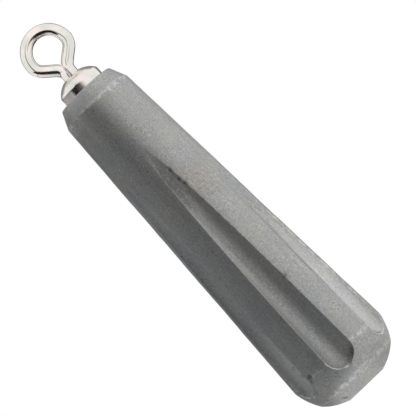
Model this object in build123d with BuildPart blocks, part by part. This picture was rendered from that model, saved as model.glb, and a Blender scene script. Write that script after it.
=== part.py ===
import math
import os

from build123d import *

# Driving dimensions, in millimetres and degrees

# Cast lead body, a round form that tapers from its fat lower end to the swivel
base_flat_radius = 2.10
dome_edge_radius = 4.61
dome_height = 1.44
dome_bulge = 0.20
widest_radius = 5.62
band_height = 2.62
band_bulge = 0.145
shoulder_radius = 3.90
taper_height = 33.30
top_flat_radius = 3.12
top_chamfer_height = 1.715
worn_edge_round = 0.16

# Six flutes, cut by a straight ball-nosed tool that runs parallel to the axis
flute_count = 6
flute_radius = 1.67
flute_axis_radius = 5.93
first_flute_angle = -90.0

# Hollow swivel barrel, half of it set into the lead
barrel_radius = 2.33
barrel_wall = 0.45
barrel_length = 5.60
barrel_proud = 1.90
barrel_shoulder = 0.96
barrel_shoulder_bulge = 0.13
barrel_neck_rim = 0.17
barrel_lip = 0.50

# Wire eye, with its two ends pressed together into a round shank
wire_radius = 0.615
ring_radius = 2.17
ring_above_body = 5.145
corner_radius = 1.353
reverse_bend_radius = 0.91
flare_angle = 50.4
shank_radius = 0.86
leg_offset_share = 0.80
shank_taper_height = 0.40
shank_taper_radius = 0.45
head_radius = 1.45
head_rim = 0.55
head_foot_round = 0.12

# Fits
neck_clearance = 0.05
head_clearance = 0.06
cast_in_gap = 0.02

# How far a cut or a trimmed sweep runs past the face that ends it
overrun = 0.5
overrun_angle = 6.0
quarter_turn = 90.0

# Sizes that follow from the ones above
widest_height = dome_height + band_height
shoulder_height = widest_height + taper_height
body_height = shoulder_height + top_chamfer_height
flute_length = body_height - widest_height
barrel_top = body_height + barrel_proud
barrel_foot = barrel_top - barrel_length
barrel_middle = barrel_top - barrel_length / 2
neck_radius = shank_radius + neck_clearance
rim_radius = neck_radius + barrel_neck_rim
chamber_radius = barrel_radius - barrel_wall
cone_foot = barrel_shoulder + barrel_wall / 2
seat_slope = (cone_foot - barrel_lip) / (chamber_radius - neck_radius)
ring_centre = body_height + ring_above_body
leg_offset = (shank_radius - wire_radius) * leg_offset_share

flare_turn = math.radians(flare_angle)
bends_together = reverse_bend_radius + corner_radius
flare_reach = ring_radius - leg_offset - bends_together * (1 - math.cos(flare_turn))
flare_length = flare_reach / math.sin(flare_turn)
bends_rise = bends_together * math.sin(flare_turn)
bend_start = ring_centre - bends_rise - flare_length * math.cos(flare_turn)

# The head's cone runs parallel to the seat in the barrel, a clearance below it
head_drop = head_clearance * math.hypot(1, seat_slope)
head_top = barrel_top - barrel_lip - head_drop + seat_slope * neck_clearance
head_edge = head_top - seat_slope * (head_radius - shank_radius)
head_foot = head_edge - head_rim


def barrel_envelope(grow):
    """The barrel's outer form as a solid, grown all round by the given gap."""
    with BuildPart() as envelope:
        with BuildSketch(Plane.XZ):
            with BuildLine():
                foot = (0, barrel_foot - grow)
                lower_rim = (rim_radius + grow, barrel_foot - grow)
                lower_edge = (barrel_radius + grow, barrel_foot + barrel_shoulder)
                upper_edge = (barrel_radius + grow, barrel_top - barrel_shoulder)
                upper_rim = (rim_radius + grow, barrel_top + grow)
                top = (0, barrel_top + grow)
                Line(foot, lower_rim)
                SagittaArc(lower_rim, lower_edge, -barrel_shoulder_bulge)
                Line(lower_edge, upper_edge)
                SagittaArc(upper_edge, upper_rim, -barrel_shoulder_bulge)
                Line(upper_rim, top)
                Line(top, foot)
            make_face()
        revolve(axis=Axis.Z)
    return envelope.part


def wire_eye(grow):
    """The upper eye with its shank and head, grown all round by the given gap."""
    with BuildPart() as eye:
        # One half of the loop, swept from inside the shank over the crown
        with BuildLine(Plane.XZ):
            leg = Line((leg_offset, head_top), (leg_offset, bend_start))
            bend = JernArc(leg @ 1, leg % 1, reverse_bend_radius, -flare_angle)
            flare = PolarLine(bend @ 1, flare_length, direction=bend % 1)
            corner = JernArc(flare @ 1, flare % 1, corner_radius, flare_angle)
            JernArc(corner @ 1, corner % 1, ring_radius, quarter_turn + overrun_angle)
        with BuildSketch(Plane.XY.offset(head_top)):
            with Locations((leg_offset, 0)):
                Circle(wire_radius + grow)
        sweep()
        # The halves are pressed flat against each other at the middle plane
        split(bisect_by=Plane.YZ, keep=Keep.TOP)
        mirror(about=Plane.YZ)
        # Round shank and upset head
        with BuildSketch(Plane.XZ):
            with BuildLine():
                Polyline(
                    (0, head_foot - grow),
                    (head_radius - head_foot_round + grow, head_foot - grow),
                    (head_radius + grow, head_foot + head_foot_round - grow),
                    (head_radius + grow, head_edge + grow),
                    (shank_radius + grow, head_top + grow),
                    (shank_radius + grow, bend_start),
                    (shank_taper_radius, bend_start + shank_taper_height),
                    (0, bend_start + shank_taper_height),
                    close=True,
                )
            make_face()
        revolve(axis=Axis.Z)
    return eye.part


# The lower eye is the upper one turned over at the barrel's middle
turn_over_plane = Plane.XY.offset(barrel_middle)
eye_form = wire_eye(0)
anchor_form = mirror(eye_form, about=turn_over_plane)
anchor_cavity = mirror(wire_eye(cast_in_gap), about=turn_over_plane)
barrel_form = barrel_envelope(0)
barrel_cavity = barrel_envelope(cast_in_gap)

# Cast lead body
with BuildPart() as sinker_body:
    with BuildSketch(Plane.XZ):
        with BuildLine():
            base_edge = (base_flat_radius, 0)
            dome_edge = (dome_edge_radius, dome_height)
            widest_edge = (widest_radius, widest_height)
            shoulder_edge = (shoulder_radius, shoulder_height)
            top_edge = (top_flat_radius, body_height)
            Line((0, 0), base_edge)
            SagittaArc(base_edge, dome_edge, -dome_bulge)
            SagittaArc(dome_edge, widest_edge, -band_bulge)
            Line(widest_edge, shoulder_edge)
            Line(shoulder_edge, top_edge)
            Line(top_edge, (0, body_height))
            Line((0, body_height), (0, 0))
        make_face()
    revolve(axis=Axis.Z)
    # Every crisp ring edge of the casting is slightly worn
    fillet(sinker_body.edges().filter_by(GeomType.CIRCLE), worn_edge_round)
    # Flutes whose ball-nosed ends are centred on the widest ring
    with BuildSketch(Plane.XY.offset(widest_height)):
        with PolarLocations(flute_axis_radius, flute_count, first_flute_angle):
            Circle(flute_radius)
    extrude(amount=flute_length + overrun, mode=Mode.SUBTRACT)
    with Locations(Plane.XY.offset(widest_height)):
        with PolarLocations(flute_axis_radius, flute_count, first_flute_angle):
            Sphere(flute_radius, mode=Mode.SUBTRACT)
    # The lead is cast round the lower half of the swivel
    add(barrel_cavity, mode=Mode.SUBTRACT)
    add(anchor_cavity, mode=Mode.SUBTRACT)

# Hollow barrel, necked in at both ends
with BuildPart() as swivel_barrel:
    add(barrel_form)
    with BuildSketch(Plane.XZ):
        with BuildLine():
            Polyline(
                (0, barrel_foot - overrun),
                (neck_radius, barrel_foot - overrun),
                (neck_radius, barrel_foot + barrel_lip),
                (chamber_radius, barrel_foot + cone_foot),
                (chamber_radius, barrel_top - cone_foot),
                (neck_radius, barrel_top - barrel_lip),
                (neck_radius, barrel_top + overrun),
                (0, barrel_top + overrun),
                close=True,
            )
        make_face()
    revolve(axis=Axis.Z, mode=Mode.SUBTRACT)

# Eye that the fishing line ties to
with BuildPart() as line_eye:
    add(eye_form)

# Eye that the lead is cast round
with BuildPart() as anchor_eye:
    add(anchor_form)

sinker_body.part.label = "sinker_body"
swivel_barrel.part.label = "swivel_barrel"
line_eye.part.label = "line_eye"
anchor_eye.part.label = "anchor_eye"

os.makedirs("parts", exist_ok=True)
export_step(sinker_body.part, "parts/sinker_body.step")
export_step(swivel_barrel.part, "parts/swivel_barrel.step")
export_step(line_eye.part, "parts/line_eye.step")
export_step(anchor_eye.part, "parts/anchor_eye.step")
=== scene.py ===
"""Fishing sinker: a fluted lead casting with a nickel-plated swivel, dressed round its CAD frame."""

import math

import bmesh
import bpy
from mathutils import Matrix, Vector


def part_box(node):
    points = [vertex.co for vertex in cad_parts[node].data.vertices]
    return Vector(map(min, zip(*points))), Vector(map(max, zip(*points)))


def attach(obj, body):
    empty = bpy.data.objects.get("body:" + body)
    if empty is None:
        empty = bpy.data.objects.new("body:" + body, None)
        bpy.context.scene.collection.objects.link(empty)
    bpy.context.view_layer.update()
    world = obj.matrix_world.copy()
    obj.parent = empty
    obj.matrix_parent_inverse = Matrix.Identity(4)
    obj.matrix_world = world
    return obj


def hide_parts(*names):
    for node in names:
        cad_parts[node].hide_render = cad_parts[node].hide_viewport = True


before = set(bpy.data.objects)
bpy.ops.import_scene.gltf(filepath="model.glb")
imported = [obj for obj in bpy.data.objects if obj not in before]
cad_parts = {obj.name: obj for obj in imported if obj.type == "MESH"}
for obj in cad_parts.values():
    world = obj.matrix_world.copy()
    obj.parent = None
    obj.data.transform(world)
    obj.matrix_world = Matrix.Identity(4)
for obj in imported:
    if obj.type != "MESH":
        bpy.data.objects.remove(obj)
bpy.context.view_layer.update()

MM = 0.001

# Points closer than this are joined
WELD = 0.0005 * MM

# Sizes that the frame gives, in metres
body_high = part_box("sinker_body")[1]
barrel_low, barrel_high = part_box("swivel_barrel")
eye_low, eye_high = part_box("line_eye")
BODY_HEIGHT = body_high.z
WIDEST_RADIUS = body_high.x
BARREL_RADIUS = barrel_high.x
BARREL_TOP = barrel_high.z
BARREL_FOOT = barrel_low.z
LOOP_OUTSIDE = eye_high.x
HEAD_FOOT = eye_low.z

# Lead casting
BASE_FLAT_RADIUS = 2.10 * MM
DOME_EDGE_RADIUS = 4.61 * MM
DOME_EDGE_HEIGHT = 1.44 * MM
DOME_BULGE = 0.20 * MM
WIDEST_HEIGHT = 4.06 * MM
BAND_BULGE = 0.145 * MM
SHOULDER_RADIUS = 3.90 * MM
TOP_CHAMFER_HEIGHT = 1.715 * MM
SHOULDER_HEIGHT = BODY_HEIGHT - TOP_CHAMFER_HEIGHT
TOP_FLAT_RADIUS = 3.12 * MM
SOCKET_GAP = 0.02 * MM

# Inputs of the casting's node tree
CASTING_SIZES = {
    "Flutes": 6,
    "Columns per Flute": 56,
    "Flute Radius": 1.67 * MM,
    "Flute Reach": 5.93 * MM,
    "Flute End": WIDEST_HEIGHT,
    "Edge Round": 0.14 * MM,
    "Least Row Gap": 0.015 * MM,
    "Rim Softness": 0.05 * MM,
    "Least Half Angle": math.radians(4.0),
    "Bottom Half Angle": math.radians(5.0),
    "Rim Column Share": 0.55,
    "Rim Crowding": 1.5,
    "Lump Size": 3.5 * MM,
    "Lump Depth": 0.05 * MM,
    "Lumps From": 2.6 * MM,
    "Lumps Full From": 3.6 * MM,
    "Groove Depth": 0.15 * MM,
    "Flute Mask Depth": 0.05 * MM,
    "Rim Wear": 0.20 * MM,
    "Rim Wear Ends": 28 * MM,
    "Rim Wear Full": 16 * MM,
    "End Wear": 1.7 * MM,
    "Left Rim Share": 0.1,
    # Painted highlight: at the flutes' ball ends the left lip is brightened four times as much as a right rim
    "Left End Highlight Share": 4.0,
    "Ring Wear": 0.34 * MM,
    "Ring Wear Share": 0.7,
    "Dome Edge": DOME_EDGE_HEIGHT,
    "Widest Edge": WIDEST_HEIGHT,
    "Shoulder Edge": SHOULDER_HEIGHT,
}

# Dents of the casting: degrees from the front flute towards +X, height, radius and depth
DENTS = (
    (-39.7, 4.28 * MM, 0.46 * MM, 0.26 * MM),
    (-42.5, 3.86 * MM, 0.24 * MM, 0.10 * MM),
    (-52.0, 2.74 * MM, 0.30 * MM, 0.10 * MM),
    (-65.5, 4.85 * MM, 0.28 * MM, 0.10 * MM),
    (-67.0, 5.95 * MM, 0.24 * MM, 0.08 * MM),
    (16.1, 12.84 * MM, 0.30 * MM, 0.10 * MM),
    (-45.5, 0.52 * MM, 0.35 * MM, 0.10 * MM),
    (6.1, 27.60 * MM, 0.32 * MM, 0.08 * MM),
    (6.4, 26.40 * MM, 0.30 * MM, 0.08 * MM),
    (8.1, 25.75 * MM, 0.28 * MM, 0.08 * MM),
)

# Swivel barrel
BARREL_SHOULDER = 0.96 * MM
BARREL_SHOULDER_BULGE = 0.13 * MM
BARREL_WALL = 0.45 * MM
BARREL_LIP = 0.50 * MM
BARREL_EDGE_ROUND = 0.07 * MM
BARREL_SEGMENTS = 144
CRISP_ANGLE = math.radians(20)
NECK_RADIUS = 0.88 * MM
NECK_RIM_RADIUS = 1.08 * MM

# Wire eye
WIRE_RADIUS = 0.615 * MM
LEG_OFFSET = 0.42 * MM
CORNER_RADIUS = 1.353 * MM
BEND_RADIUS = 0.91 * MM
FLARE_ANGLE = math.radians(50.4)
HEAD_RIM = 0.55 * MM
HEAD_CONE = 0.417 * MM
HEAD_EDGE = HEAD_FOOT + HEAD_RIM
HEAD_TOP = HEAD_EDGE + HEAD_CONE
LOOP_RADIUS = LOOP_OUTSIDE - WIRE_RADIUS
LOOP_CENTRE = eye_high.z - LOOP_OUTSIDE

# Inputs of the eye's node tree
EYE_SIZES = {
    "Wire Sides": 64,
    "Wire Radius": WIRE_RADIUS,
    "Shank Radius": 0.86 * MM,
    "Head Radius": 1.45 * MM,
    "Head Edge": HEAD_EDGE,
    "Head Top": HEAD_TOP,
    "Pressed Below": BARREL_TOP + 0.475 * MM,
    "Round Above": BARREL_TOP + 1.075 * MM,
    "Seam Half Gap": 0.03 * MM,
    "Seam Stain": 0.16 * MM,
    "Corner Softness": 0.13 * MM,
    "Least Inward Share": 0.02,
    "Loop Centre": LOOP_CENTRE,
}

# Spots of the lead's surface: size, detail and roughness of a noise, and its levels where they begin and
# are full
LEAD_SPOTS = {
    "warm": (2.6 * MM, 3.0, 0.5, 0.30, 0.70),
    "stained": (0.5 * MM, 2.0, 0.5, 0.38, 0.68),
    "coarse": (3.2 * MM, 2.0, 0.5, 0.38, 0.62),
    "glint": (0.12 * MM, 0.0, 0.5, 0.62, 0.74),
    "pit": (0.33 * MM, 1.0, 0.5, 0.30, 0.22),
    "rubbed_and_highlit": (0.5 * MM, 3.0, 0.7, 0.42, 0.62),
}

# Other marks of the lead's surface
SAND_GRAIN = 0.17 * MM
SAND_DEPTH = 0.03 * MM
LEAST_SAND = 0.6
MARK_WIDTH = 0.2 * MM
MARK_LENGTH = 5.0 * MM
STAIN_PLACE = Vector((2.0, -4.0, 25.2)) * MM
STAIN_RADIUS = 3.0 * MM
# Flutes: lighter near the base and darker higher up, partly painted shade of the grooves
FLUTE_LIGHTEST_BELOW = 5 * MM
FLUTE_DARKEST_ABOVE = 17 * MM
FLUTE_DARKENING_LOW = -0.06
FLUTE_DARKENING_HIGH = 0.02
LEAD_ROUGHNESS = 0.58
RUBBED_ROUGHNESS = 0.45

# Painted light and shade in the flutes, darker where a groove is shaded and lighter where it is lit: the mark
# they lie on, place, reach across, reach along the axis, and how much lighter they are
FLUTE_PATCHES = (
    ("flute", Vector((-0.7, -4.25, 28.0)) * MM, 0.95 * MM, 6.0 * MM, -0.75),
    ("flute", Vector((-0.45, -4.33, 16.5)) * MM, 0.6 * MM, 14.0 * MM, -0.28),
    ("flute", Vector((4.3, -2.5, 8.6)) * MM, 2.6 * MM, 12.0 * MM, 0.62),
    ("flute", Vector((-4.3, -2.5, 6.5)) * MM, 2.6 * MM, 14.0 * MM, 0.45),
    ("flute", Vector((-4.5, -2.6, 4.5)) * MM, 2.4 * MM, 7.0 * MM, 0.40),
    ("flute", Vector((1.1, -5.0, 3.1)) * MM, 1.0 * MM, 1.0 * MM, -0.60),
    ("flute_bottom", Vector((3.7, -2.1, 7.5)) * MM, 2.4 * MM, 13.0 * MM, -1.10),
    ("flute_bottom", Vector((-3.7, -2.1, 4.6)) * MM, 2.4 * MM, 8.0 * MM, -0.80),
)

# Marks of the plating; the levels say where its clouds begin and are full
PLATE_CLOUD = 1.6 * MM
BLUSH_LEVELS = (0.35, 0.65)
DULL_LEVELS = (0.3, 0.7)
PLATE_RIPPLE = 0.9 * MM
PLATE_RIPPLE_DEPTH = 0.01 * MM
WIRE_ROUGHNESS = 0.08
BARREL_ROUGHNESS = 0.15

# Kinds of node that come up often. A spread takes a value, two levels of it, and the result at each level.
MATHS = "ShaderNodeMath"
VECTORS = "ShaderNodeVectorMath"
PARTS = "ShaderNodeSeparateXYZ"
JOINED = "ShaderNodeCombineXYZ"
SPREAD = "ShaderNodeMapRange"
NOISE = "ShaderNodeTexNoise"
MIX = "ShaderNodeMix"
ATTRIBUTE = "ShaderNodeAttribute"
STORE = "GeometryNodeStoreNamedAttribute"


def linear(hex_colour):
    """An sRGB hex colour as linear red, green, blue and full opacity."""
    channels = [int(hex_colour[i : i + 2], 16) / 255 for i in (1, 3, 5)]
    curve = [c / 12.92 if c <= 0.04045 else ((c + 0.055) / 1.055) ** 2.4 for c in channels]
    return (*curve, 1.0)


def add(tree, kind, inputs=(), **settings):
    """Adds a node, sets its properties, and fills its inputs with values, nodes or sockets."""
    node = tree.nodes.new(kind)
    for name, value in settings.items():
        setattr(node, name, value)
    pairs = inputs.items() if isinstance(inputs, dict) else enumerate(inputs)
    for key, value in pairs:
        if isinstance(value, bpy.types.Node):
            value = value.outputs[0]
        if isinstance(value, bpy.types.NodeSocket):
            tree.links.new(value, node.inputs[key])
        else:
            node.inputs[key].default_value = value
    return node


def link_new(name, data):
    """A new object in the scene, at the origin."""
    piece = bpy.data.objects.new(name, data)
    bpy.context.scene.collection.objects.link(piece)
    return piece


def new_material(name):
    """An empty material with its node tree."""
    material = bpy.data.materials.new(name)
    material.use_nodes = True
    material.node_tree.nodes.clear()
    return material, material.node_tree


def new_tree(name, source, result, sizes):
    """A geometry tree that takes a curve, the named sizes and a material. Returns it with those inputs."""
    tree = bpy.data.node_groups.new(name, "GeometryNodeTree")
    tree.interface.new_socket(source, in_out="INPUT", socket_type="NodeSocketGeometry")
    for size, value in sizes.items():
        kind = "NodeSocketInt" if isinstance(value, int) else "NodeSocketFloat"
        tree.interface.new_socket(size, in_out="INPUT", socket_type=kind)
    tree.interface.new_socket("Material", in_out="INPUT", socket_type="NodeSocketMaterial")
    tree.interface.new_socket(result, in_out="OUTPUT", socket_type="NodeSocketGeometry")
    return tree, add(tree, "NodeGroupInput").outputs


def finish_tree(tree, geometry, material):
    """Ends a geometry tree: smooth shading, real geometry and its material."""
    smooth = add(tree, "GeometryNodeSetShadeSmooth", [geometry])
    real = add(tree, "GeometryNodeRealizeInstances", [smooth])
    finished = add(tree, "GeometryNodeSetMaterial", {"Geometry": real, "Material": material})
    add(tree, "NodeGroupOutput", [finished])
    return tree


def polyline_curve(name, points):
    """A curve object that runs straight from point to point."""
    curve = bpy.data.curves.new(name, "CURVE")
    curve.dimensions = "3D"
    spline = curve.splines.new("POLY")
    spline.points.add(len(points) - 1)
    for spot, point in zip(spline.points, points):
        spot.co = (*point, 1.0)
    return link_new(name, curve)


def grow_piece(guide, tree, sizes, material):
    """Runs a node tree on a guide curve and returns the result as a plain mesh object."""
    modifier = guide.modifiers.new(tree.name, "NODES")
    modifier.node_group = tree
    values = {**sizes, "Material": material}
    for socket in tree.interface.items_tree:
        if socket.name in values:
            modifier[socket.identifier] = values[socket.name]
    guide.update_tag()
    grown = guide.evaluated_get(bpy.context.evaluated_depsgraph_get())
    mesh = bpy.data.meshes.new_from_object(grown)
    name = guide.name
    curve = guide.data
    bpy.data.objects.remove(guide)
    bpy.data.curves.remove(curve)
    mesh.name = name
    return link_new(name, mesh)


def bulged(start, end, bulge, steps):
    """Points of a shallow arc in the XZ plane that swells to the right of its way, without its start."""
    start, end = Vector(start), Vector(end)
    chord = end - start
    side = Vector((chord.y, -chord.x)).normalized()
    points = []
    for step in range(1, steps + 1):
        share = step / steps
        points.append(start + chord * share + side * bulge * 4 * share * (1 - share))
    return points


def arc(centre, radius, start, end, steps):
    """Points of a circular arc in the XZ plane, without its start. Angles run from +X towards +Z."""
    points = []
    for step in range(1, steps + 1):
        angle = start + (end - start) * step / steps
        points.append(Vector(centre) + radius * Vector((math.cos(angle), math.sin(angle))))
    return points


def lead_spots(tree, place):
    """The spots of the lead's surface by name, each from none to full."""
    spots = {}
    for name, (size, detail, roughness, begins, full) in LEAD_SPOTS.items():
        pattern = {"Vector": place, "Scale": 1 / size, "Detail": detail, "Roughness": roughness}
        spots[name] = add(tree, SPREAD, [add(tree, NOISE, pattern), begins, full, 0.0, 1.0])
    return spots


def lead_film(tree, place, spots):
    """Colour of the lead's oxide film: soft clouds, cooler and warmer, with one faint brown stain."""
    clouds = {"Factor": spots["warm"], "A": linear("#abacad"), "B": linear("#b2b2ad")}
    film = add(tree, MIX, clouds, data_type="RGBA").outputs["Result"]
    from_stain = add(tree, VECTORS, [place, STAIN_PLACE], operation="DISTANCE").outputs["Value"]
    near_stain = add(tree, SPREAD, [from_stain, STAIN_RADIUS, 0.0, 0.0, 1.0])
    stain = add(tree, MATHS, [near_stain, spots["stained"]], operation="MULTIPLY")
    stained = {"Factor": stain, "A": film, "B": linear("#a99c94")}
    return add(tree, MIX, stained, data_type="RGBA").outputs["Result"]


def flute_painted_shading(tree, place):
    """Painted light and shade in stretches of the flutes, each with its share."""
    shares = []
    for mark_name, patch_place, reach_across, reach_along, share in FLUTE_PATCHES:
        lies_on = add(tree, ATTRIBUTE, attribute_name=mark_name).outputs["Fac"]
        away = add(tree, VECTORS, [place, patch_place], operation="SUBTRACT")
        squeeze = (1.0, 1.0, reach_across / reach_along)
        squeezed = add(tree, VECTORS, [away, squeeze], operation="MULTIPLY")
        distance = add(tree, VECTORS, [squeezed], operation="LENGTH").outputs["Value"]
        nearness = add(tree, SPREAD, [distance, reach_across, 0.0, 0.0, 1.0])
        shares.append((add(tree, MATHS, [nearness, lies_on], operation="MULTIPLY"), share))
    return shares


# Cast lead: dull grey metal under a thin oxide film. The mould leaves a sandy grain and fine draw marks
# along the axis, the flutes carry painted shade and light, and the edges rub to bright, speckled metal with
# painted highlights.
def cast_lead():
    material, tree = new_material("cast_lead_dulled")
    place = add(tree, "ShaderNodeTexCoord").outputs["Object"]
    spots = lead_spots(tree, place)
    film = lead_film(tree, place, spots)

    # Mould sand, coarser in patches; it is drawn at about twice its real size so that it shows
    sandy = {"Vector": place, "Scale": 1 / SAND_GRAIN, "Detail": 2.0, "Roughness": 0.6}
    grain = add(tree, NOISE, sandy)
    grain_even = add(tree, MATHS, [grain, 0.5], operation="SUBTRACT")
    patch = add(tree, SPREAD, [spots["coarse"], 0.0, 1.0, LEAST_SAND, 1.0])
    sand = add(tree, MATHS, [grain_even, patch], operation="MULTIPLY")
    glint = add(tree, MATHS, [spots["glint"], patch], operation="MULTIPLY")

    # Draw marks run along the axis
    along = add(tree, "ShaderNodeMapping", {"Vector": place, "Scale": (1.0, 1.0, MARK_WIDTH / MARK_LENGTH)})
    mark_noise = add(tree, NOISE, {"Vector": along, "Scale": 1 / MARK_WIDTH, "Detail": 2.0})
    mark = add(tree, MATHS, [mark_noise, 0.5], operation="SUBTRACT")

    # Worn edges with painted highlights; flutes lighter near the base and darker higher up, partly painted
    # shade; dents
    wear_and_highlight = add(tree, ATTRIBUTE, attribute_name="edge_wear_and_highlight").outputs["Fac"]
    dent = add(tree, ATTRIBUTE, attribute_name="dent").outputs["Fac"]
    flute = add(tree, ATTRIBUTE, attribute_name="flute").outputs["Fac"]
    height = add(tree, PARTS, [place]).outputs["Z"]
    flute_darkening = add(tree, SPREAD, [height, FLUTE_LIGHTEST_BELOW, FLUTE_DARKEST_ABOVE, FLUTE_DARKENING_LOW, FLUTE_DARKENING_HIGH])
    flute_dirt_and_shade = add(tree, MATHS, [flute, flute_darkening], operation="MULTIPLY")
    rubbed_and_highlit = add(tree, MATHS, [wear_and_highlight, spots["rubbed_and_highlit"]], operation="MULTIPLY")

    # Each mark lightens or darkens the film by its own share
    # Painted light and shade of the flutes come first; the worn edges further on also carry painted
    # highlights
    shares = flute_painted_shading(tree, place)
    shares += [(sand, 1.10), (mark, 0.30), (flute_dirt_and_shade, -1.0), (rubbed_and_highlit, 0.85)]
    shares += [(glint, 0.30), (spots["pit"], -0.30), (dent, -0.60)]
    level = 1.0
    for pattern, share in shares:
        level = add(tree, MATHS, [pattern, share, level], operation="MULTIPLY_ADD")
    colour = add(tree, VECTORS, {0: film, "Scale": level}, operation="SCALE")
    relief = 0.0
    for pattern, share in ((grain, 1.0), (mark, 0.35), (spots["pit"], -0.8)):
        relief = add(tree, MATHS, [pattern, share, relief], operation="MULTIPLY_ADD")
    bump = add(tree, "ShaderNodeBump", {"Height": relief, "Strength": 0.5, "Distance": SAND_DEPTH})
    rough = add(tree, SPREAD, [rubbed_and_highlit, 0.0, 1.0, LEAD_ROUGHNESS, RUBBED_ROUGHNESS])
    look = {"Base Color": colour, "Metallic": 0.85, "Roughness": rough, "Normal": bump}
    add(tree, "ShaderNodeOutputMaterial", {"Surface": add(tree, "ShaderNodeBsdfPrincipled", look)})
    return material


# Nickel plate on brass and wire: a bright, slightly warm mirror, clouded and rippled a little by tumbling
def nickel_plate(name, roughness):
    material, tree = new_material(name)
    place = add(tree, "ShaderNodeTexCoord").outputs["Object"]
    cloud = add(tree, NOISE, {"Vector": place, "Scale": 1 / PLATE_CLOUD, "Detail": 2.0})
    blush = add(tree, SPREAD, [cloud, *BLUSH_LEVELS, 0.0, 1.0])
    tones = {"Factor": blush, "A": linear("#dddfd7"), "B": linear("#f8ede9")}
    tone = add(tree, MIX, tones, data_type="RGBA")
    seam = add(tree, ATTRIBUTE, attribute_name="seam").outputs["Fac"]
    dulled = {"Factor": seam, "A": tone.outputs["Result"], "B": linear("#4a4240")}
    plate = add(tree, MIX, dulled, data_type="RGBA")
    ripple = add(tree, NOISE, {"Vector": place, "Scale": 1 / PLATE_RIPPLE, "Detail": 1.0})
    bump = add(tree, "ShaderNodeBump", {"Height": ripple, "Strength": 0.25, "Distance": PLATE_RIPPLE_DEPTH})
    rough = add(tree, SPREAD, [cloud, *DULL_LEVELS, roughness, 2 * roughness])
    look = {"Base Color": plate.outputs["Result"], "Metallic": 1.0, "Roughness": rough, "Normal": bump}
    add(tree, "ShaderNodeOutputMaterial", {"Surface": add(tree, "ShaderNodeBsdfPrincipled", look)})
    return material


def profile_grid(tree, given):
    """A grid with a row for each point of the rounded profile, and its points' column, radius and height."""
    least_radius = 0.0001 * MM

    # The profile's corners are rounded, and rows that crowd are merged
    rounding = {"Curve": given["Profile"], "Radius": given["Edge Round"], "Limit Radius": True, "Count": 4}
    rounded = add(tree, "GeometryNodeFilletCurve", rounding, mode="POLY")
    rounded_mesh = add(tree, "GeometryNodeCurveToMesh", {"Curve": rounded})
    merging = {"Geometry": rounded_mesh, "Distance": given["Least Row Gap"]}
    rows_mesh = add(tree, "GeometryNodeMergeByDistance", merging)
    rows = add(tree, "GeometryNodeAttributeDomainSize", [rows_mesh], component="MESH").outputs["Point Count"]
    last_row = add(tree, MATHS, [rows, 1.0], operation="SUBTRACT")
    columns = add(tree, MATHS, [given["Flutes"], given["Columns per Flute"]], operation="MULTIPLY")
    columns_closed = add(tree, MATHS, [columns, 1.0], operation="ADD")
    extent = {"Size X": columns, "Size Y": last_row, "Vertices X": columns_closed, "Vertices Y": rows}
    grid = add(tree, "GeometryNodeMeshGrid", extent)

    # Each point reads its column and row from its place in the grid
    here = add(tree, "GeometryNodeInputPosition")
    spot = add(tree, PARTS, [here]).outputs
    half_columns = add(tree, MATHS, [columns, 0.5], operation="MULTIPLY")
    half_rows = add(tree, MATHS, [last_row, 0.5], operation="MULTIPLY")
    from_first = add(tree, MATHS, [spot["X"], half_columns], operation="ADD")
    from_foot = add(tree, MATHS, [spot["Y"], half_rows], operation="ADD")
    column = add(tree, MATHS, [from_first], operation="ROUND")
    row = add(tree, MATHS, [from_foot], operation="ROUND")
    reading = {"Geometry": rows_mesh, "Value": here, "Index": row}
    on_profile = add(tree, "GeometryNodeSampleIndex", reading, data_type="FLOAT_VECTOR", domain="POINT")
    profile = add(tree, PARTS, [on_profile]).outputs
    radius = add(tree, MATHS, [profile["X"], least_radius], operation="MAXIMUM")
    return grid, column, radius, profile["Z"]


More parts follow.
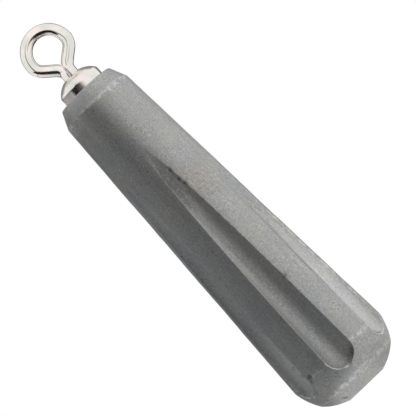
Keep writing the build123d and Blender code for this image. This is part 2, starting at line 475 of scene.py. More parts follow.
def flute_cut(tree, given, column, radius, height):
    """Where a column lies, and how far from the axis the wall of its flute is there.

    Returns the column's side of the flute, its angle from the flute's middle, its angle round the axis and
    the wall's distance.
    """
    # How wide the ball-nosed cutter is at this height, squared
    below_end = add(tree, MATHS, [given["Flute End"], height], operation="SUBTRACT")
    drop = add(tree, MATHS, [below_end, 0.0], operation="MAXIMUM")
    drop_squared = add(tree, MATHS, [drop, drop], operation="MULTIPLY")
    full_squared = add(tree, MATHS, [given["Flute Radius"], given["Flute Radius"]], operation="MULTIPLY")
    cutter_squared = add(tree, MATHS, [full_squared, drop_squared], operation="SUBTRACT")

    # Half the angle between the flute's rims, by the law of cosines
    reach = given["Flute Reach"]
    reach_squared = add(tree, MATHS, [reach, reach], operation="MULTIPLY")
    squares = add(tree, MATHS, [radius, radius, reach_squared], operation="MULTIPLY_ADD")
    squares_left = add(tree, MATHS, [squares, cutter_squared], operation="SUBTRACT")
    sides = add(tree, MATHS, [radius, reach], operation="MULTIPLY")
    sides_twice = add(tree, MATHS, [sides, 2.0], operation="MULTIPLY")
    rim_cosine = add(tree, MATHS, [squares_left, sides_twice], operation="DIVIDE")
    rim_cosine_real = add(tree, MATHS, [rim_cosine, 1.0], operation="MINIMUM")
    rim_angle = add(tree, MATHS, [rim_cosine_real], operation="ARCCOSINE")
    rim = add(tree, MATHS, [rim_angle, given["Least Half Angle"]], operation="MAXIMUM")

    # Columns crowd towards the rims, on the flute's side and on the land's
    pitch = add(tree, MATHS, [math.tau, given["Flutes"]], operation="DIVIDE")
    half_pitch = add(tree, MATHS, [pitch, 0.5], operation="MULTIPLY")
    turn = add(tree, MATHS, [column, given["Columns per Flute"]], operation="DIVIDE")
    flute_number = add(tree, MATHS, [turn], operation="FLOOR")
    part_turn = add(tree, MATHS, [turn], operation="FRACT")
    from_middle = add(tree, MATHS, [part_turn, 2.0, -1.0], operation="MULTIPLY_ADD")
    away = add(tree, MATHS, [from_middle], operation="ABSOLUTE")
    side = add(tree, MATHS, [from_middle], operation="SIGN")
    share = given["Rim Column Share"]
    in_flute = add(tree, SPREAD, [away, 0.0, share, 1.0, 0.0])
    on_land = add(tree, SPREAD, [away, share, 1.0, 0.0, 1.0])
    in_flute_eased = add(tree, MATHS, [in_flute, given["Rim Crowding"]], operation="POWER")
    on_land_eased = add(tree, MATHS, [on_land, given["Rim Crowding"]], operation="POWER")
    flute_part = add(tree, MATHS, [1.0, in_flute_eased], operation="SUBTRACT")
    flute_angle = add(tree, MATHS, [flute_part, rim], operation="MULTIPLY")
    land_width = add(tree, MATHS, [half_pitch, rim], operation="SUBTRACT")
    angle_away = add(tree, MATHS, [on_land_eased, land_width, flute_angle], operation="MULTIPLY_ADD")

    # The first flute faces -Y
    turned = add(tree, MATHS, [side, angle_away], operation="MULTIPLY")
    angle = add(tree, MATHS, [flute_number, pitch, turned], operation="MULTIPLY_ADD")
    angle_front = add(tree, MATHS, [angle, -math.pi / 2], operation="ADD")

    # Distance of the flute's wall at that angle
    sine = add(tree, MATHS, [angle_away], operation="SINE")
    cosine = add(tree, MATHS, [angle_away], operation="COSINE")
    sideways = add(tree, MATHS, [reach, sine], operation="MULTIPLY")
    sideways_squared = add(tree, MATHS, [sideways, sideways], operation="MULTIPLY")
    inside = add(tree, MATHS, [cutter_squared, sideways_squared], operation="SUBTRACT")
    inside_size = add(tree, MATHS, [add(tree, MATHS, [inside], operation="ABSOLUTE")], operation="SQRT")
    inside_sign = add(tree, MATHS, [inside], operation="SIGN")
    chord = add(tree, MATHS, [inside_sign, inside_size], operation="MULTIPLY")
    forward = add(tree, MATHS, [reach, cosine], operation="MULTIPLY")
    wall = add(tree, MATHS, [forward, chord], operation="SUBTRACT")
    return side, angle_away, angle_front, wall


def rubbed_lands(tree, given, side, height, sunk, to_rim):
    """How bright the lands are worn along the rims the mould drags on and along the ring edges, plus painted
    highlights at the flute ends.
    """
    in_groove = add(tree, SPREAD, [sunk, 0.0, given["Groove Depth"]])
    land = add(tree, MATHS, [1.0, in_groove], operation="SUBTRACT")
    rim_near = add(tree, SPREAD, [to_rim, given["Rim Wear"], 0.0, 0.0, 1.0])
    rim_deep = add(tree, SPREAD, [height, given["Rim Wear Ends"], given["Rim Wear Full"], 0.0, 1.0])
    above_end = add(tree, MATHS, [height, given["Flute End"]], operation="SUBTRACT")
    # Towards the flute ends the left lips get a painted highlight
    left_shares = (given["Left Rim Share"], given["Left End Highlight Share"])
    left_share = add(tree, SPREAD, [above_end, given["End Wear"], 0.0, *left_shares])
    rim_side = add(tree, SPREAD, [side, -1.0, 1.0, left_share, 1.0])
    wear_and_highlight = land
    for limit in (rim_near, rim_deep, rim_side):
        wear_and_highlight = add(tree, MATHS, [wear_and_highlight, limit], operation="MULTIPLY")
    for edge in ("Dome Edge", "Widest Edge", "Shoulder Edge"):
        edge_away = add(tree, MATHS, [height, given[edge]], operation="SUBTRACT")
        edge_distance = add(tree, MATHS, [edge_away], operation="ABSOLUTE")
        edge_near = add(tree, SPREAD, [edge_distance, given["Ring Wear"], 0.0, 0.0, given["Ring Wear Share"]])
        edge_wear_and_highlight = add(tree, MATHS, [edge_near, land], operation="MULTIPLY")
        wear_and_highlight = add(tree, MATHS, [wear_and_highlight, edge_wear_and_highlight], operation="MAXIMUM")
    return wear_and_highlight


def fluted_casting(sizes):
    """Tree that turns a profile about Z and sinks straight, ball-ended flutes into it."""
    tree, given = new_tree("fluted_casting", "Profile", "Casting", sizes)
    grid, column, radius, height = profile_grid(tree, given)
    side, angle_away, angle, wall = flute_cut(tree, given, column, radius, height)

    # The flutes blend softly with the turned surface, and every point goes to its place round the axis
    fluted = add(tree, MATHS, [radius, wall, given["Rim Softness"]], operation="SMOOTH_MIN")
    across = add(tree, MATHS, [angle], operation="COSINE")
    depth = add(tree, MATHS, [angle], operation="SINE")
    x = add(tree, MATHS, [fluted, across], operation="MULTIPLY")
    y = add(tree, MATHS, [fluted, depth], operation="MULTIPLY")
    place = add(tree, JOINED, [x, y, height])

    # The casting is a little lumpy, always inwards, and not where the swivel and the base need it true
    lump_levels = (0.3, 0.7)
    lump_scale = add(tree, MATHS, [1.0, given["Lump Size"]], operation="DIVIDE")
    lump_noise = add(tree, NOISE, {"Vector": place, "Scale": lump_scale, "Detail": 2.0})
    lump = add(tree, SPREAD, [lump_noise, *lump_levels, 0.0, given["Lump Depth"]])
    lumps_here = add(tree, SPREAD, [radius, given["Lumps From"], given["Lumps Full From"]])
    lump_depth = add(tree, MATHS, [lump, lumps_here], operation="MULTIPLY")
    lumpy = add(tree, MATHS, [fluted, lump_depth], operation="SUBTRACT")
    shrink = add(tree, MATHS, [lumpy, fluted], operation="DIVIDE")
    squeeze = add(tree, JOINED, [shrink, shrink, 1.0])
    lumpy_place = add(tree, VECTORS, [place, squeeze], operation="MULTIPLY")

    # Marks that the material reads: worn lands with painted highlights, the flutes, and the bottoms of the
    # flutes, which carry painted light and shade
    sunk = add(tree, MATHS, [radius, fluted], operation="SUBTRACT")
    to_rim = add(tree, MATHS, [wall, radius], operation="SUBTRACT")
    wear_and_highlight = rubbed_lands(tree, given, side, height, sunk, to_rim)
    flute_depth_mask = add(tree, SPREAD, [sunk, 0.0, given["Flute Mask Depth"]])
    bottom_near = add(tree, SPREAD, [angle_away, given["Bottom Half Angle"], 0.0, 0.0, 1.0])
    bottom = add(tree, MATHS, [bottom_near, flute_depth_mask], operation="MULTIPLY")
    marked = grid.outputs["Mesh"]
    for name, value in (("edge_wear_and_highlight", wear_and_highlight), ("flute", flute_depth_mask), ("flute_bottom", bottom)):
        mark = {"Geometry": marked, "Name": name, "Value": value}
        marked = add(tree, STORE, mark, data_type="FLOAT", domain="POINT")
    placed = add(tree, "GeometryNodeSetPosition", {"Geometry": marked, "Position": lumpy_place})
    closed = add(tree, "GeometryNodeMergeByDistance", {"Geometry": placed, "Distance": WELD})
    return finish_tree(tree, closed, given["Material"])


def lead_profile():
    """Half section of the casting from its base, over the top face and down into the swivel's socket."""
    dome_rows = 14
    band_rows = 18
    cone_rows = 190
    chamfer_rows = 10
    face_rows = 4
    socket_radius = BARREL_RADIUS + SOCKET_GAP
    dome_edge = (DOME_EDGE_RADIUS, DOME_EDGE_HEIGHT)
    widest = (WIDEST_RADIUS, WIDEST_HEIGHT)
    shoulder = (SHOULDER_RADIUS, SHOULDER_HEIGHT)
    top_edge = (TOP_FLAT_RADIUS, BODY_HEIGHT)
    socket_edge = (socket_radius, BODY_HEIGHT)
    points = [Vector((0.0, 0.0)), Vector((BASE_FLAT_RADIUS / 2, 0.0)), Vector((BASE_FLAT_RADIUS, 0.0))]
    points += bulged(points[-1], dome_edge, DOME_BULGE, dome_rows)
    points += bulged(dome_edge, widest, BAND_BULGE, band_rows)
    points += bulged(widest, shoulder, 0.0, cone_rows)
    points += bulged(shoulder, top_edge, 0.0, chamfer_rows)
    points += bulged(top_edge, socket_edge, 0.0, face_rows)
    points += bulged(socket_edge, (socket_radius, BARREL_FOOT), 0.0, face_rows)
    points += [Vector((0.0, BARREL_FOOT))]
    return [(p.x, 0.0, p.y) for p in points]


def dent_casting(mesh):
    """Presses the dents into the casting, towards its axis, and marks how deep each point went."""
    depth_share = mesh.attributes.new("dent", "FLOAT", "POINT")
    for vertex in mesh.vertices:
        radius = vertex.co.xy.length
        angle = math.atan2(vertex.co.x, -vertex.co.y)
        for dent_angle, dent_height, dent_radius, dent_depth in DENTS:
            around = (angle - math.radians(dent_angle)) * radius
            nearness = 1 - math.hypot(around, vertex.co.z - dent_height) / dent_radius
            if nearness > 0:
                share = nearness * nearness * (3 - 2 * nearness)
                vertex.co.xy *= 1 - dent_depth * share / radius
                mark = depth_share.data[vertex.index]
                mark.value = max(mark.value, share)


def barrel_profile():
    """Closed half section of the hollow barrel, from its foot up the outside and down the inside."""
    shoulder_steps = 12
    side_steps = 16
    lip_steps = 6
    chamber_radius = BARREL_RADIUS - BARREL_WALL
    cone_foot = BARREL_SHOULDER + BARREL_WALL / 2
    foot_rim = (NECK_RIM_RADIUS, BARREL_FOOT)
    foot_edge = (BARREL_RADIUS, BARREL_FOOT + BARREL_SHOULDER)
    top_edge = (BARREL_RADIUS, BARREL_TOP - BARREL_SHOULDER)
    top_rim = (NECK_RIM_RADIUS, BARREL_TOP)
    lip_round = NECK_RIM_RADIUS - NECK_RADIUS
    lip_centre = (NECK_RIM_RADIUS, BARREL_TOP - lip_round)
    points = [Vector((NECK_RADIUS, BARREL_FOOT)), Vector(foot_rim)]
    points += bulged(foot_rim, foot_edge, BARREL_SHOULDER_BULGE, shoulder_steps)
    points += bulged(foot_edge, top_edge, 0.0, side_steps)
    points += bulged(top_edge, top_rim, BARREL_SHOULDER_BULGE, shoulder_steps)
    points += arc(lip_centre, lip_round, math.pi / 2, math.pi, lip_steps)
    points += [Vector((NECK_RADIUS, BARREL_TOP - BARREL_LIP))]
    points += [Vector((chamber_radius, BARREL_TOP - cone_foot))]
    points += [Vector((chamber_radius, BARREL_FOOT + cone_foot))]
    points += [Vector((NECK_RADIUS, BARREL_FOOT + BARREL_LIP))]
    return points


def turned_barrel(name, profile):
    """The barrel as a turned mesh, its crisp edges rounded off."""
    build = bmesh.new()
    ring = [build.verts.new((p.x, 0.0, p.y)) for p in profile]
    edges = [build.edges.new(pair) for pair in zip(ring, ring[1:] + ring[:1])]
    axis = Vector((0.0, 0.0, 1.0))
    turning = {"axis": axis, "angle": math.tau, "steps": BARREL_SEGMENTS, "use_duplicate": False}
    bmesh.ops.spin(build, geom=ring + edges, **turning)
    bmesh.ops.remove_doubles(build, verts=build.verts, dist=WELD)
    bmesh.ops.recalc_face_normals(build, faces=build.faces)
    crisp = [edge for edge in build.edges if edge.calc_face_angle() > CRISP_ANGLE]
    rounding = {"offset": BARREL_EDGE_ROUND, "segments": 3, "affect": "EDGES", "clamp_overlap": True}
    bmesh.ops.bevel(build, geom=crisp, **rounding)
    for facet in build.faces:
        facet.smooth = True
    mesh = bpy.data.meshes.new(name)
    build.to_mesh(mesh)
    build.free()
    return link_new(name, mesh)


def eye_path():
    """Centre line of the eye's wire, from one foot up, round the loop and down to the other foot."""
    head_steps = 3
    straight_steps = 8
    bend_steps = 14
    crown_steps = 30
    bends = BEND_RADIUS + CORNER_RADIUS
    flare_reach = LOOP_RADIUS - LEG_OFFSET - bends * (1 - math.cos(FLARE_ANGLE))
    flare_rise = flare_reach / math.tan(FLARE_ANGLE)
    bend_start = LOOP_CENTRE - bends * math.sin(FLARE_ANGLE) - flare_rise
    bend_centre = (LEG_OFFSET + BEND_RADIUS, bend_start)
    corner_centre = (LOOP_RADIUS - CORNER_RADIUS, LOOP_CENTRE)
    half = [Vector((LEG_OFFSET, HEAD_FOOT))]
    half += bulged(half[-1], (LEG_OFFSET, HEAD_EDGE), 0.0, head_steps)
    half += bulged(half[-1], (LEG_OFFSET, HEAD_TOP), 0.0, head_steps)
    half += bulged(half[-1], (LEG_OFFSET, bend_start), 0.0, straight_steps)
    half += arc(bend_centre, BEND_RADIUS, math.pi, math.pi - FLARE_ANGLE, bend_steps)
    half += bulged(half[-1], half[-1] + Vector((flare_reach, flare_rise)), 0.0, straight_steps)
    half += arc(corner_centre, CORNER_RADIUS, -FLARE_ANGLE, 0.0, bend_steps)
    half += arc((0.0, LOOP_CENTRE), LOOP_RADIUS, 0.0, math.pi / 2, crown_steps)
    right = [(p.x, 0.0, p.y) for p in half]
    left = [(-x, y, z) for x, y, z in reversed(right[:-1])]
    return right + left


def half_round(tree, given, leg, outward, height):
    """Distance from a leg's centre line to its side, the nearer of a round side and a flat one."""
    head = (given["Head Edge"], given["Head Top"])
    round_radius = add(tree, SPREAD, [height, *head, given["Head Radius"], given["Shank Radius"]])
    along = add(tree, MATHS, [leg, outward], operation="MULTIPLY")
    along_squared = add(tree, MATHS, [along, along], operation="MULTIPLY")
    leg_squared = add(tree, MATHS, [leg, leg], operation="MULTIPLY")
    across_squared = add(tree, MATHS, [leg_squared, along_squared], operation="SUBTRACT")
    radius_squared = add(tree, MATHS, [round_radius, round_radius], operation="MULTIPLY")
    chord_squared = add(tree, MATHS, [radius_squared, across_squared], operation="SUBTRACT")
    chord_real = add(tree, MATHS, [chord_squared, 0.0], operation="MAXIMUM")
    chord = add(tree, MATHS, [chord_real], operation="SQRT")
    to_round = add(tree, MATHS, [chord, along], operation="SUBTRACT")
    to_seam = add(tree, MATHS, [leg, given["Seam Half Gap"]], operation="SUBTRACT")
    turned_in = add(tree, MATHS, [outward, -1.0], operation="MULTIPLY")
    inward = add(tree, MATHS, [turned_in, given["Least Inward Share"]], operation="MAXIMUM")
    to_flat = add(tree, MATHS, [to_seam, inward], operation="DIVIDE")
    return add(tree, MATHS, [to_round, to_flat, given["Corner Softness"]], operation="SMOOTH_MIN")


def pressed_wire(sizes):
    """Tree that runs round wire along a path and presses its two ends into half-round legs with a head."""
    tree, given = new_tree("pressed_wire", "Path", "Eye", sizes)

    # The wire remembers the point of its centre line that each ring of corners stands round
    here = add(tree, "GeometryNodeInputPosition")
    centre_line = {"Geometry": given["Path"], "Name": "centre_line", "Value": here}
    path = add(tree, STORE, centre_line, data_type="FLOAT_VECTOR", domain="POINT")
    circle = {"Resolution": given["Wire Sides"], "Radius": given["Wire Radius"]}
    section = add(tree, "GeometryNodeCurvePrimitiveCircle", circle)
    wire = add(tree, "GeometryNodeCurveToMesh", {"Curve": path, "Profile Curve": section, "Fill Caps": True})
    centre = add(tree, "GeometryNodeInputNamedAttribute", {"Name": "centre_line"}, data_type="FLOAT_VECTOR")
    offset = add(tree, VECTORS, [here, centre], operation="SUBTRACT")
    centre_parts = add(tree, PARTS, [centre]).outputs
    height = centre_parts["Z"]
    side = add(tree, MATHS, [centre_parts["X"]], operation="SIGN")
    leg = add(tree, MATHS, [centre_parts["X"]], operation="ABSOLUTE")
    offset_x = add(tree, PARTS, [offset]).outputs["X"]
    offset_out = add(tree, MATHS, [offset_x, side], operation="MULTIPLY")
    outward = add(tree, MATHS, [offset_out, given["Wire Radius"]], operation="DIVIDE")
    to_side = half_round(tree, given, leg, outward, height)

    # Only the shank is pressed, and the wire comes back to round above it
    pressed_size = add(tree, MATHS, [to_side, given["Wire Radius"]], operation="DIVIDE")
    pressing = [height, given["Pressed Below"], given["Round Above"], 1.0, 0.0]
    press = add(tree, SPREAD, pressing, interpolation_type="SMOOTHSTEP")
    change = add(tree, MATHS, [pressed_size, 1.0], operation="SUBTRACT")
    size = add(tree, MATHS, [change, press, 1.0], operation="MULTIPLY_ADD")
    moved_offset = add(tree, VECTORS, {0: offset, "Scale": size}, operation="SCALE")
    moved = add(tree, VECTORS, [centre, moved_offset], operation="ADD")

    # Below the loop's middle neither leg crosses the seam
    moved_parts = add(tree, PARTS, [moved]).outputs
    from_seam = add(tree, MATHS, [moved_parts["X"], side], operation="MULTIPLY")
    kept = add(tree, MATHS, [from_seam, given["Seam Half Gap"]], operation="MAXIMUM")
    kept_x = add(tree, MATHS, [kept, side], operation="MULTIPLY")
    kept_place = add(tree, JOINED, [kept_x, moved_parts["Y"], moved_parts["Z"]])
    below = add(tree, "FunctionNodeCompare", [height, given["Loop Centre"]], operation="LESS_THAN")
    places = {"Switch": below, "False": moved, "True": kept_place}
    place = add(tree, "GeometryNodeSwitch", places, input_type="VECTOR")

    # The seam is stained
    near_seam = add(tree, SPREAD, [kept, given["Seam Half Gap"], given["Seam Stain"], 1.0, 0.0])
    stain = add(tree, MATHS, [near_seam, press], operation="MULTIPLY")
    seam = {"Geometry": wire, "Name": "seam", "Value": stain}
    marked = add(tree, STORE, seam, data_type="FLOAT", domain="POINT")
    placed = add(tree, "GeometryNodeSetPosition", {"Geometry": marked, "Position": place})
    cleared = add(tree, "GeometryNodeRemoveAttribute", {"Geometry": placed, "Name": "centre_line"})
    return finish_tree(tree, cleared, given["Material"])


lead = cast_lead()
wire_plate = nickel_plate("nickel_plate_on_wire", WIRE_ROUGHNESS)
barrel_plate = nickel_plate("nickel_plate_on_brass", BARREL_ROUGHNESS)

casting_guide = polyline_curve("lead_casting", lead_profile())
casting = grow_piece(casting_guide, fluted_casting(CASTING_SIZES), CASTING_SIZES, lead)
dent_casting(casting.data)
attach(casting, "sinker")
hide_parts("sinker_body")

barrel = turned_barrel("plated_barrel", barrel_profile())
barrel.data.materials.append(barrel_plate)
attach(barrel, "sinker")
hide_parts("swivel_barrel")

eye_guide = polyline_curve("wire_eye", eye_path())
eye = grow_piece(eye_guide, pressed_wire(EYE_SIZES), EYE_SIZES, wire_plate)
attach(eye, "eye")
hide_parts("line_eye")

# The hidden lower eye is shown as its CAD solid, plated like the upper one
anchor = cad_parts["anchor_eye"]
anchor.data.materials.clear()
anchor.data.materials.append(wire_plate)

# Camera, level with the sinker's foot and rolled so that the sinker lies across the picture
CAMERA_DISTANCE = 400 * MM
CAMERA_HEIGHT = 2 * MM
CAMERA_TURN = math.radians(-1.1)
CLIP_START = 10 * MM
CLIP_END = 10.0
PICTURE_WIDTH = 39.92 * MM
PICTURE_CENTRE = Vector((0.695, 0.0, 22.74)) * MM
PICTURE_UP = Vector((0.6904, 0.0, 0.7235))
SENSOR = 36.0

camera_data = bpy.data.cameras.new("photo_camera")
camera = link_new("photo_camera", camera_data)
camera_x = PICTURE_CENTRE.x + CAMERA_DISTANCE * math.sin(CAMERA_TURN)
camera_place = Vector((camera_x, -CAMERA_DISTANCE * math.cos(CAMERA_TURN), CAMERA_HEIGHT))
forward = (PICTURE_CENTRE - camera_place).normalized()
right = forward.cross(PICTURE_UP).normalized()
up = right.cross(forward)
turn = Matrix((right, up, -forward)).transposed()
camera.matrix_world = Matrix.Translation(camera_place) @ turn.to_4x4()
camera_data.sensor_width = SENSOR
camera_data.lens = SENSOR * (PICTURE_CENTRE - camera_place).length / PICTURE_WIDTH
camera_data.clip_start = CLIP_START
camera_data.clip_end = CLIP_END
bpy.context.scene.camera = camera

# White studio: the world is white to the camera and to reflections, and plain soft light to the rest
SOFT_LIGHT = 0.6
world = bpy.data.worlds.new("white_studio")
bpy.context.scene.world = world
world.use_nodes = True
world.cycles.sampling_method = "NONE"
sky = world.node_tree
sky.nodes.clear()
rays = add(sky, "ShaderNodeLightPath").outputs
seen = add(sky, MATHS, [rays["Is Camera Ray"], rays["Is Glossy Ray"]], operation="MAXIMUM")
seen_all = add(sky, MATHS, [seen, rays["Is Transmission Ray"]], operation="MAXIMUM")
soft_light = add(sky, "ShaderNodeBackground", {"Color": linear("#ffffff"), "Strength": SOFT_LIGHT})
white_wall = add(sky, "ShaderNodeBackground", {"Color": linear("#ffffff"), "Strength": 1.0})
both = add(sky, "ShaderNodeMixShader", [seen_all, soft_light, white_wall])
add(sky, "ShaderNodeOutputWorld", {"Surface": both})

# Floor. Its shades in reflections are given by where they begin and are full, and how dark they get.
FLOOR_RADIUS = 3.0
FLOOR_SEGMENTS = 96
PAPER_FILL = 0.46
PAPER_IN_REFLECTIONS = 0.06
SHADED_ROUND_FOOT = (8 * MM, 6 * MM)
SHADED_LEFT = (-2.8 * MM, -5 * MM)
SHADED_RIGHT = (1 * MM, 4.5 * MM)
LEFT_SHADE = 0.7
RIGHT_SHADE = 0.45


# White paper: a pale floor. A glow that only the camera sees fills it up to white, so its shadow stays.
def white_paper():
    material, tree = new_material("white_paper")
    rays = add(tree, "ShaderNodeLightPath").outputs
    paper = add(tree, "ShaderNodeBsdfDiffuse", {"Color": linear("#f4f4f4")})

    # Reflections see white paper that is shaded at both sides of the foot
    spot = add(tree, "ShaderNodeTexCoord").outputs["Object"]
    across = add(tree, PARTS, [spot]).outputs["X"]
    from_axis = add(tree, VECTORS, [spot], operation="LENGTH").outputs["Value"]
    near = add(tree, SPREAD, [from_axis, *SHADED_ROUND_FOOT, 0.0, 1.0])
    left_shade = add(tree, SPREAD, [across, *SHADED_LEFT, 0.0, LEFT_SHADE])
    right_shade = add(tree, SPREAD, [across, *SHADED_RIGHT, 0.0, RIGHT_SHADE])
    shade = add(tree, MATHS, [left_shade, right_shade], operation="ADD")
    shade_near = add(tree, MATHS, [shade, near], operation="MULTIPLY")
    level = add(tree, MATHS, [1.0, shade_near], operation="SUBTRACT")
    mirrored = add(tree, "ShaderNodeEmission", {"Color": linear("#ffffff"), "Strength": level})
    mirrors = [rays["Is Glossy Ray"], rays["Is Transmission Ray"]]
    mirror_seen = add(tree, MATHS, mirrors, operation="MAXIMUM")
    mirror_share = add(tree, MATHS, [mirror_seen, 1 - PAPER_IN_REFLECTIONS], operation="MULTIPLY")
    paper_or_mirrored = add(tree, "ShaderNodeMixShader", [mirror_share, paper, mirrored])
    fill_level = add(tree, MATHS, [rays["Is Camera Ray"], PAPER_FILL], operation="MULTIPLY")
    fill = add(tree, "ShaderNodeEmission", {"Color": linear("#ffffff"), "Strength": fill_level})
    filled = add(tree, "ShaderNodeAddShader", [paper_or_mirrored, fill])
    add(tree, "ShaderNodeOutputMaterial", {"Surface": filled})
    return material


floor_mesh = bpy.data.meshes.new("floor")
build = bmesh.new()
bmesh.ops.create_circle(build, cap_ends=True, segments=FLOOR_SEGMENTS, radius=FLOOR_RADIUS)
build.to_mesh(floor_mesh)
build.free()
floor = link_new("floor", floor_mesh)
floor_mesh.materials.append(white_paper())


# Card: an even glow in the tones stored on its points, which fades out to clear
def card_glow(name, clear_behind):
    material, tree = new_material(name)
    paint = add(tree, ATTRIBUTE, attribute_name="shade").outputs
    glow = add(tree, "ShaderNodeEmission", {"Color": paint["Color"], "Strength": 1.0})
    clear = add(tree, "ShaderNodeBsdfTransparent")
    cover = paint["Alpha"]
    if clear_behind:
        behind = add(tree, "ShaderNodeNewGeometry").outputs["Backfacing"]
        cover = add(tree, MATHS, [cover, behind], operation="SUBTRACT")
    both = add(tree, "ShaderNodeMixShader", [cover, clear, glow])
    add(tree, "ShaderNodeOutputMaterial", {"Surface": both})
    return material


# Soft shares of a card that fades out nowhere
SHARP = (0.0, 0.0, 0.0)


def card(name, foot, head, tones, soft=SHARP, clear_behind=False):
    """A card between two rows of points that only reflections see.

    The tones are those of its foot and its head. It fades out over its soft shares, at the start and end of
    its rows and at its head. A card that is clear behind shows only from its front.
    """
    rows = 12
    mesh = bpy.data.meshes.new(name)
    build = bmesh.new()
    shade = build.verts.layers.float_color.new("shade")
    foot_tone, head_tone = (Vector(linear(tone)) for tone in tones)
    grid = []
    for column, (low, high) in enumerate(zip(foot, head)):
        share = column / (len(foot) - 1)
        grid.append([])
        for row in range(rows + 1):
            rise = row / rows
            fades = [1.0]
            for reach, width in zip((share, 1 - share, 1 - rise), soft):
                if width:
                    fades.append(reach / width)
            spot = build.verts.new(low.lerp(high, rise))
            spot[shade] = (*foot_tone.lerp(head_tone, rise)[:3], min(fades))
            grid[-1].append(spot)
    for left, right in zip(grid, grid[1:]):
        for row in range(rows):
            build.faces.new((left[row], right[row], right[row + 1], left[row + 1]))
    build.to_mesh(mesh)
    build.free()
    piece = link_new(name, mesh)
    mesh.materials.append(card_glow(name, clear_behind))
    piece.visible_camera = False
    piece.visible_diffuse = False
    piece.visible_transmission = False
    piece.visible_shadow = False


def round_row(start, end, distance, height):
    """Points at one height round the sinker. Angles run from the camera's side towards +X, in degrees."""
    steps = 36
    points = []
    for step in range(steps + 1):
        angle = math.radians(start + (end - start) * step / steps)
        points.append(Vector((math.sin(angle) * distance, -math.cos(angle) * distance, height)))
    return points


def round_card(name, ends, foot, head, tones, **settings):
    """A card round the sinker. Its foot and head are given by their distances from the axis and heights."""
    card(name, round_row(*ends, *foot), round_row(*ends, *head), tones, **settings)


# Tones of the cards, at their foot and at their head
DARK = ("#2a2c30", "#221a1a")
GREY = ("#888b91", "#3a3d44")
PALE = ("#aeadae", "#aeadae")
PALE_TO_GREY = ("#aeadae", "#505050")
WINDOW = ("#9a9ca0", "#9a9ca0")
WHITE = ("#ffffff", "#ffffff")
LIGHT = ("#ecebe8", "#ecebe8")
BLACK = ("#141212", "#141212")
BLACK_TO_BROWN = ("#141212", "#7c726c")
BEHIND_LOOP = ("#868686", "#868686")
BEHIND = ("#404040", "#404040")
FLOOR_DARK = ("#94969a", "#7c7e82")
FLOOR_GREY = ("#a4a6aa", "#94969a")
FLOOR_PALE = ("#e6e6e6", "#f2f2f2")

# Cards round the sinker. Some stand round the lead's dark side, under a mask that leaves the swivel out, some
# lie on the floor, and one stands far behind. A soft window in front of the grey card lightens the middle of
# the dark side. Each has its end angles, the distance and height of its foot and head, its tones and its soft
# shares.
LEFT = (-178, -50)
LIFT = 0.02 * MM
FOOT_CLEAR = 6.4 * MM
GREY_REACH = 20 * MM
DARK_REACH = 22 * MM
GREY_FLOOR_REACH = 25 * MM
PALE_FLOOR_REACH = 30 * MM
PALE_FROM = 38.4 * MM
WINDOW_REACH = 19.6 * MM
WINDOW_FOOT = (WINDOW_REACH, 17 * MM)
WINDOW_HEAD = (WINDOW_REACH, 33 * MM)
MASK_HOLE = 6.4 * MM
MASK_UNDER = 41.2 * MM
MASK_OVER = 41.4 * MM
UNDER_HOLE = (MASK_HOLE, MASK_UNDER)
OVER_HOLE = (MASK_HOLE, MASK_OVER)
FAR = 350 * MM
FAR_HEAD = 300 * MM
round_cards = (
    ("dark_card", (-64, 24), (DARK_REACH, LIFT), (DARK_REACH, MASK_UNDER), DARK, (0.2, 0.22, 0.0)),
    ("grey_card", LEFT, (GREY_REACH, LIFT), (GREY_REACH, PALE_FROM), GREY, (0.0, 0.06, 0.0)),
    ("pale_card", LEFT, (GREY_REACH, PALE_FROM), (GREY_REACH, MASK_UNDER), PALE, (0.0, 0.15, 0.0)),
    ("window_card", (-165, -36), WINDOW_FOOT, WINDOW_HEAD, WINDOW, (0.17, 0.5, 0.2)),
    ("mask_left_under", LEFT, (GREY_REACH, MASK_UNDER), UNDER_HOLE, PALE_TO_GREY, SHARP),
    ("mask_left_over", (-178, -70), (DARK_REACH, MASK_OVER), OVER_HOLE, WHITE, SHARP),
    ("mask_front_under", (-50, 12), (DARK_REACH, MASK_UNDER), UNDER_HOLE, DARK, (0.0, 0.25, 0.0)),
    ("mask_front_over", (-75, 10), (DARK_REACH, MASK_OVER), OVER_HOLE, BLACK, (0.2, 0.3, 0.0)),
    ("dark_floor_card", (-50, 5), (FOOT_CLEAR, LIFT), (DARK_REACH, LIFT), FLOOR_DARK, SHARP),
    ("grey_floor_card", LEFT, (FOOT_CLEAR, LIFT), (GREY_FLOOR_REACH, LIFT), FLOOR_GREY, SHARP),
    ("pale_floor_card", (5, 178), (FOOT_CLEAR, LIFT), (PALE_FLOOR_REACH, LIFT), FLOOR_PALE, SHARP),
    ("back_card", (132, 228), (FAR, LIFT), (FAR, FAR_HEAD), BEHIND, (0.3, 0.3, 0.0)),
)
for name, ends, foot, head, tones, soft in round_cards:
    round_card(name, ends, foot, head, tones, soft=soft)

# A small pale card lies beside the lead's shoulder, face up, and lightens the underside of the loop
LEDGE = 36 * MM
LEDGE_FROM = 6.5 * MM
LEDGE_TO = 18 * MM
round_card("ledge_card", (-135, -62), (LEDGE_TO, LEDGE), (LEDGE_FROM, LEDGE), LIGHT, clear_behind=True)


def spaced(start, end, steps):
    """Evenly spaced values from start to end."""
    return [start + (end - start) * step / steps for step in range(steps + 1)]


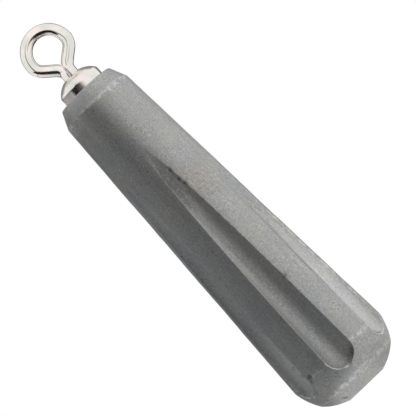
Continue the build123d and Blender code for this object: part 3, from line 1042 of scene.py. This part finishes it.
# Dark cards in front of the loop. One that narrows towards the loop's middle puts the black crescent on it,
# and a strip to the left of the camera puts the soft line on its sides. Each has its shift to the right, the
# place up the picture and half width of its foot and head, and its soft shares.
LOOP_FRONT = Vector((0.0, -20 * MM, LOOP_CENTRE))
WAIST = 1.3 * MM
STRIP = 3.2 * MM
LOOP_FRONT_STEPS = 16
picture_right = Vector((PICTURE_UP.z, 0.0, -PICTURE_UP.x))
loop_fronts = (
    ("low_crescent_card", 0.0, ((-15 * MM, 11 * MM), (0.0, WAIST)), (0.3, 0.3, 0.6)),
    ("side_line_card", -8 * MM, ((-13 * MM, STRIP), (6 * MM, STRIP)), (0.3, 0.3, 0.3)),
)
for name, shift, ends, soft in loop_fronts:
    rows = []
    for along, half in ends:
        middle = LOOP_FRONT + PICTURE_UP * along + picture_right * shift
        rows.append([middle + picture_right * side for side in spaced(-half, half, LOOP_FRONT_STEPS)])
    card(name, *rows, BLACK_TO_BROWN, soft=soft)

# Cards behind the loop darken the rims of its wire, and the lower one, at the right, also draws the lead's
# right edge. Each has its ends across, the heights of its foot and head, its tones and its soft shares.
LOOP_BACK_Y = 20 * MM
LOOP_BACK_STEPS = 28
loop_backs = (
    ("loop_back_card", (-28 * MM, 28 * MM), (44.5 * MM, 72 * MM), BEHIND_LOOP, (0.15, 0.15, 0.2)),
    ("side_back_card", (-1 * MM, 25 * MM), (2 * MM, 46 * MM), BEHIND, (0.1, 0.2, 0.0)),
)
for name, ends, heights, tones, soft in loop_backs:
    places = spaced(*ends, LOOP_BACK_STEPS)
    rows = [[Vector((x, LOOP_BACK_Y, height)) for x in places] for height in heights]
    card(name, *rows, tones, soft=soft)

# Soft lamp in front, above and to the right, left out of reflections
KEY_PLACE = Vector((300, -120, 260)) * MM
KEY_SIZE = 300 * MM
KEY_ENERGY = 0.6
key_data = bpy.data.lights.new("key_softbox", "AREA")
key_data.shape = "RECTANGLE"
key_data.size = KEY_SIZE
key_data.size_y = KEY_SIZE
key_data.energy = KEY_ENERGY
key = link_new("key_softbox", key_data)
key_aim = (PICTURE_CENTRE - KEY_PLACE).to_track_quat("-Z", "Y")
key.matrix_world = Matrix.Translation(KEY_PLACE) @ key_aim.to_matrix().to_4x4()
key.visible_glossy = False

bpy.context.scene.view_settings.view_transform = "Standard"
